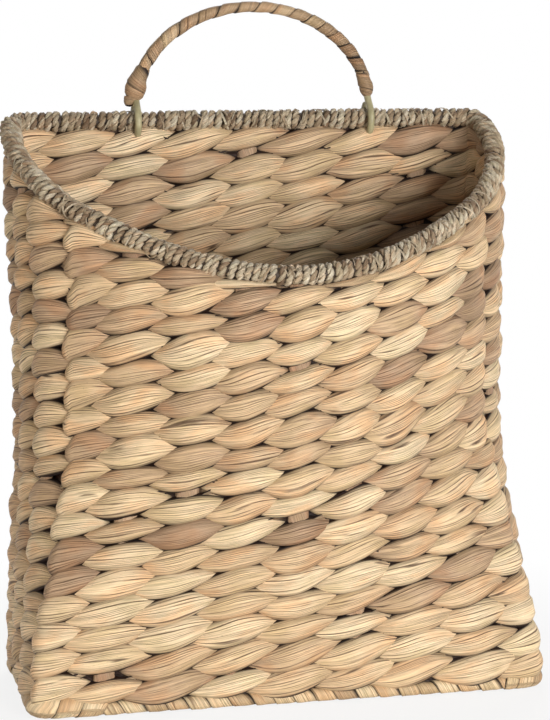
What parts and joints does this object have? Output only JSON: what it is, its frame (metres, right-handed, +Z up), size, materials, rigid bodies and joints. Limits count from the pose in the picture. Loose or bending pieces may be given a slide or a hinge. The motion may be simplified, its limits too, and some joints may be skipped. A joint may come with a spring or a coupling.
{
  "type": "hanging wall basket",
  "caption": "Twined leaf wall basket on a wire frame, with a straight back, a bowed front, a corded rim that dips at the front and a swinging bail handle.",
  "frame": {"origin": "on the ground under the middle of the part's bounding box", "axes": "+X to the right seen from the front, +Y towards the wall, +Z up"},
  "size_m": [0.3254, 0.1642, 0.4246],
  "materials": {
    "leaf": "dry plaited leaf, satin",
    "stake": "twisted dry fibre, matt",
    "cord": "twisted grass cord, matt",
    "edge_binding": "wound dry leaf, satin",
    "painted_wire": "khaki paint, satin",
    "handle_strip": "wound leaf strip, satin"
  },
  "bodies": {
    "basket": {"course_01": "leaf", "course_02": "leaf", "course_03": "leaf", "course_04": "leaf", "course_05": "leaf", "course_06": "leaf", "course_07": "leaf", "course_08": "leaf", "course_09": "leaf", "course_10": "leaf", "course_11": "leaf", "course_12": "leaf", "course_13": "leaf", "course_14": "leaf", "course_15": "leaf", "course_16": "leaf", "course_17": "leaf", "course_18": "leaf", "course_19": "leaf", "course_20": "leaf", "course_21": "leaf", "floor_course_1": "leaf", "floor_course_2": "leaf", "floor_course_3": "leaf", "floor_course_4": "leaf", "floor_course_5": "leaf", "floor_course_6": "leaf", "floor_course_7": "leaf", "floor_stake_1": "stake", "floor_stake_2": "stake", "floor_stake_3": "stake", "floor_stake_4": "stake", "floor_stake_5": "stake", "floor_stake_6": "stake", "floor_stake_7": "stake", "left_stake_1": "stake", "left_stake_2": "stake", "left_stake_3": "stake", "right_stake_1": "stake", "right_stake_2": "stake", "right_stake_3": "stake", "corner_post_back_left": "painted_wire", "corner_post_front_left": "painted_wire", "corner_post_front_right": "painted_wire", "corner_post_back_right": "painted_wire", "rim_wire": "painted_wire", "base_wire": "painted_wire", "rim_binding_front": "cord", "rim_binding_back": "cord", "base_binding_left": "edge_binding", "base_binding_front": "edge_binding", "base_binding_right": "edge_binding", "base_binding_back": "edge_binding"},
    "handle": {"handle_wire": "painted_wire", "handle_wrap": "handle_strip", "handle_knot_left": "handle_strip", "handle_knot_right": "handle_strip"}
  },
  "joints": [
    {"name": "handle_swing", "type": "hinge", "parent": "basket", "child": "handle", "pos_m": [0.004, 0.0701, 0.3495], "axis": [1, 0, 0], "range_deg": [-125, 125]}
  ]
}
